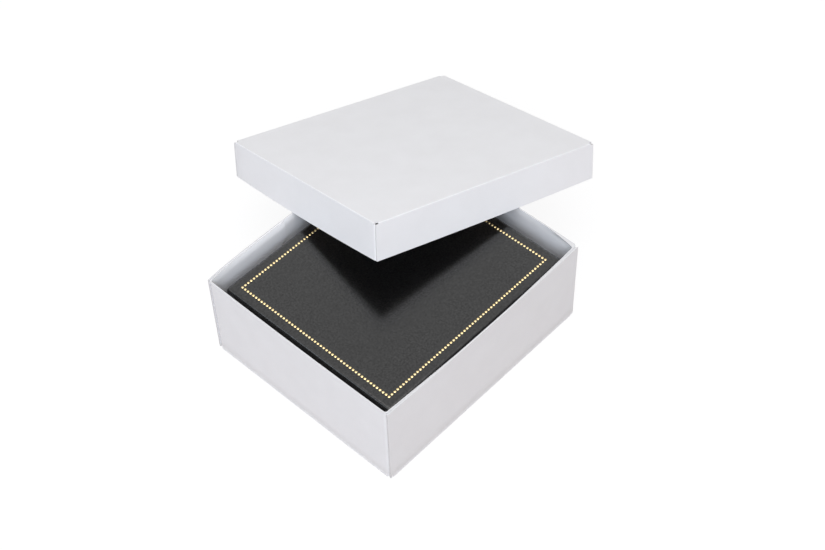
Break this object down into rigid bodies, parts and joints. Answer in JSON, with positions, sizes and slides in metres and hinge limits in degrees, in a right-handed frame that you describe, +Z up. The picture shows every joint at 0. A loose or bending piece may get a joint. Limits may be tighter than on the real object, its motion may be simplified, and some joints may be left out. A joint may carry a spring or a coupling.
{
  "type": "jewelry gift box",
  "caption": "Hinged leatherette jewelry box with a dotted gold border, packed in a white two-piece folding carton whose lid is taken off and props on the tray's back corner.",
  "frame": {"origin": "middle of the carton tray's bottom face", "axes": "+Z up; +X to the right along the long side of the tray; +Y to the back, where the inner box has its hinge and the carton's lid props"},
  "size_m": [0.137, 0.1183, 0.0601],
  "materials": {
    "carton_board": "smooth white coated folding board",
    "leatherette": "glossy black with a fine pressed grain",
    "gold_foil": "hot-stamped gold foil",
    "shell_plastic": "moulded black plastic",
    "lining_velvet": "short-pile black velvet",
    "lining_satin": "ivory satin",
    "grey_board": "plain grey board",
    "padding": "soft foam and wadding",
    "hinge_brass": "brass-plated sheet",
    "hinge_steel": "bright spring steel"
  },
  "bodies": {
    "tray": {"carton_tray": "carton_board"},
    "carton_top": {"carton_lid": "carton_board"},
    "jewel_base": {"base_shell": "shell_plastic", "base_cover": "leatherette", "base_bottom_sheet": "leatherette", "base_collar": "lining_velvet", "insert_platform": "grey_board", "insert_foam": "padding", "velvet_pad": "lining_velvet", "hinge_leaf_base": "hinge_brass", "hinge_pin": "hinge_steel", "hinge_spring": "hinge_steel", "hinge_rivets_base": "hinge_brass"},
    "jewel_cap": {"cap_shell": "shell_plastic", "cap_cover": "leatherette", "gold_border": "gold_foil", "cap_board": "grey_board", "cap_wadding": "padding", "satin_pad": "lining_satin", "hinge_leaf_cap": "hinge_brass", "hinge_rivets_cap": "hinge_brass"}
  },
  "joints": [
    {"name": "box_lift_out", "type": "slide", "parent": "tray", "child": "jewel_base", "axis": [0, 0, 1], "range_m": [0, 0.09]},
    {"name": "jewel_lid_hinge", "type": "hinge", "parent": "jewel_base", "child": "jewel_cap", "pos_m": [-0.0018, 0.0351, 0.0194], "axis": [-1, 0, 0], "range_deg": [0, 100]},
    {"name": "carton_lid_lift", "type": "slide", "parent": "tray", "child": "carton_top", "axis": [0, 0, 1], "range_m": [0, 0.24]}
  ],
  "couplings": [
    {"joint": "jewel_lid_hinge", "follows": "box_lift_out", "rad_per_m": 19.373},
    {"joint": "carton_lid_lift", "follows": "box_lift_out", "ratio": 2.6662}
  ]
}
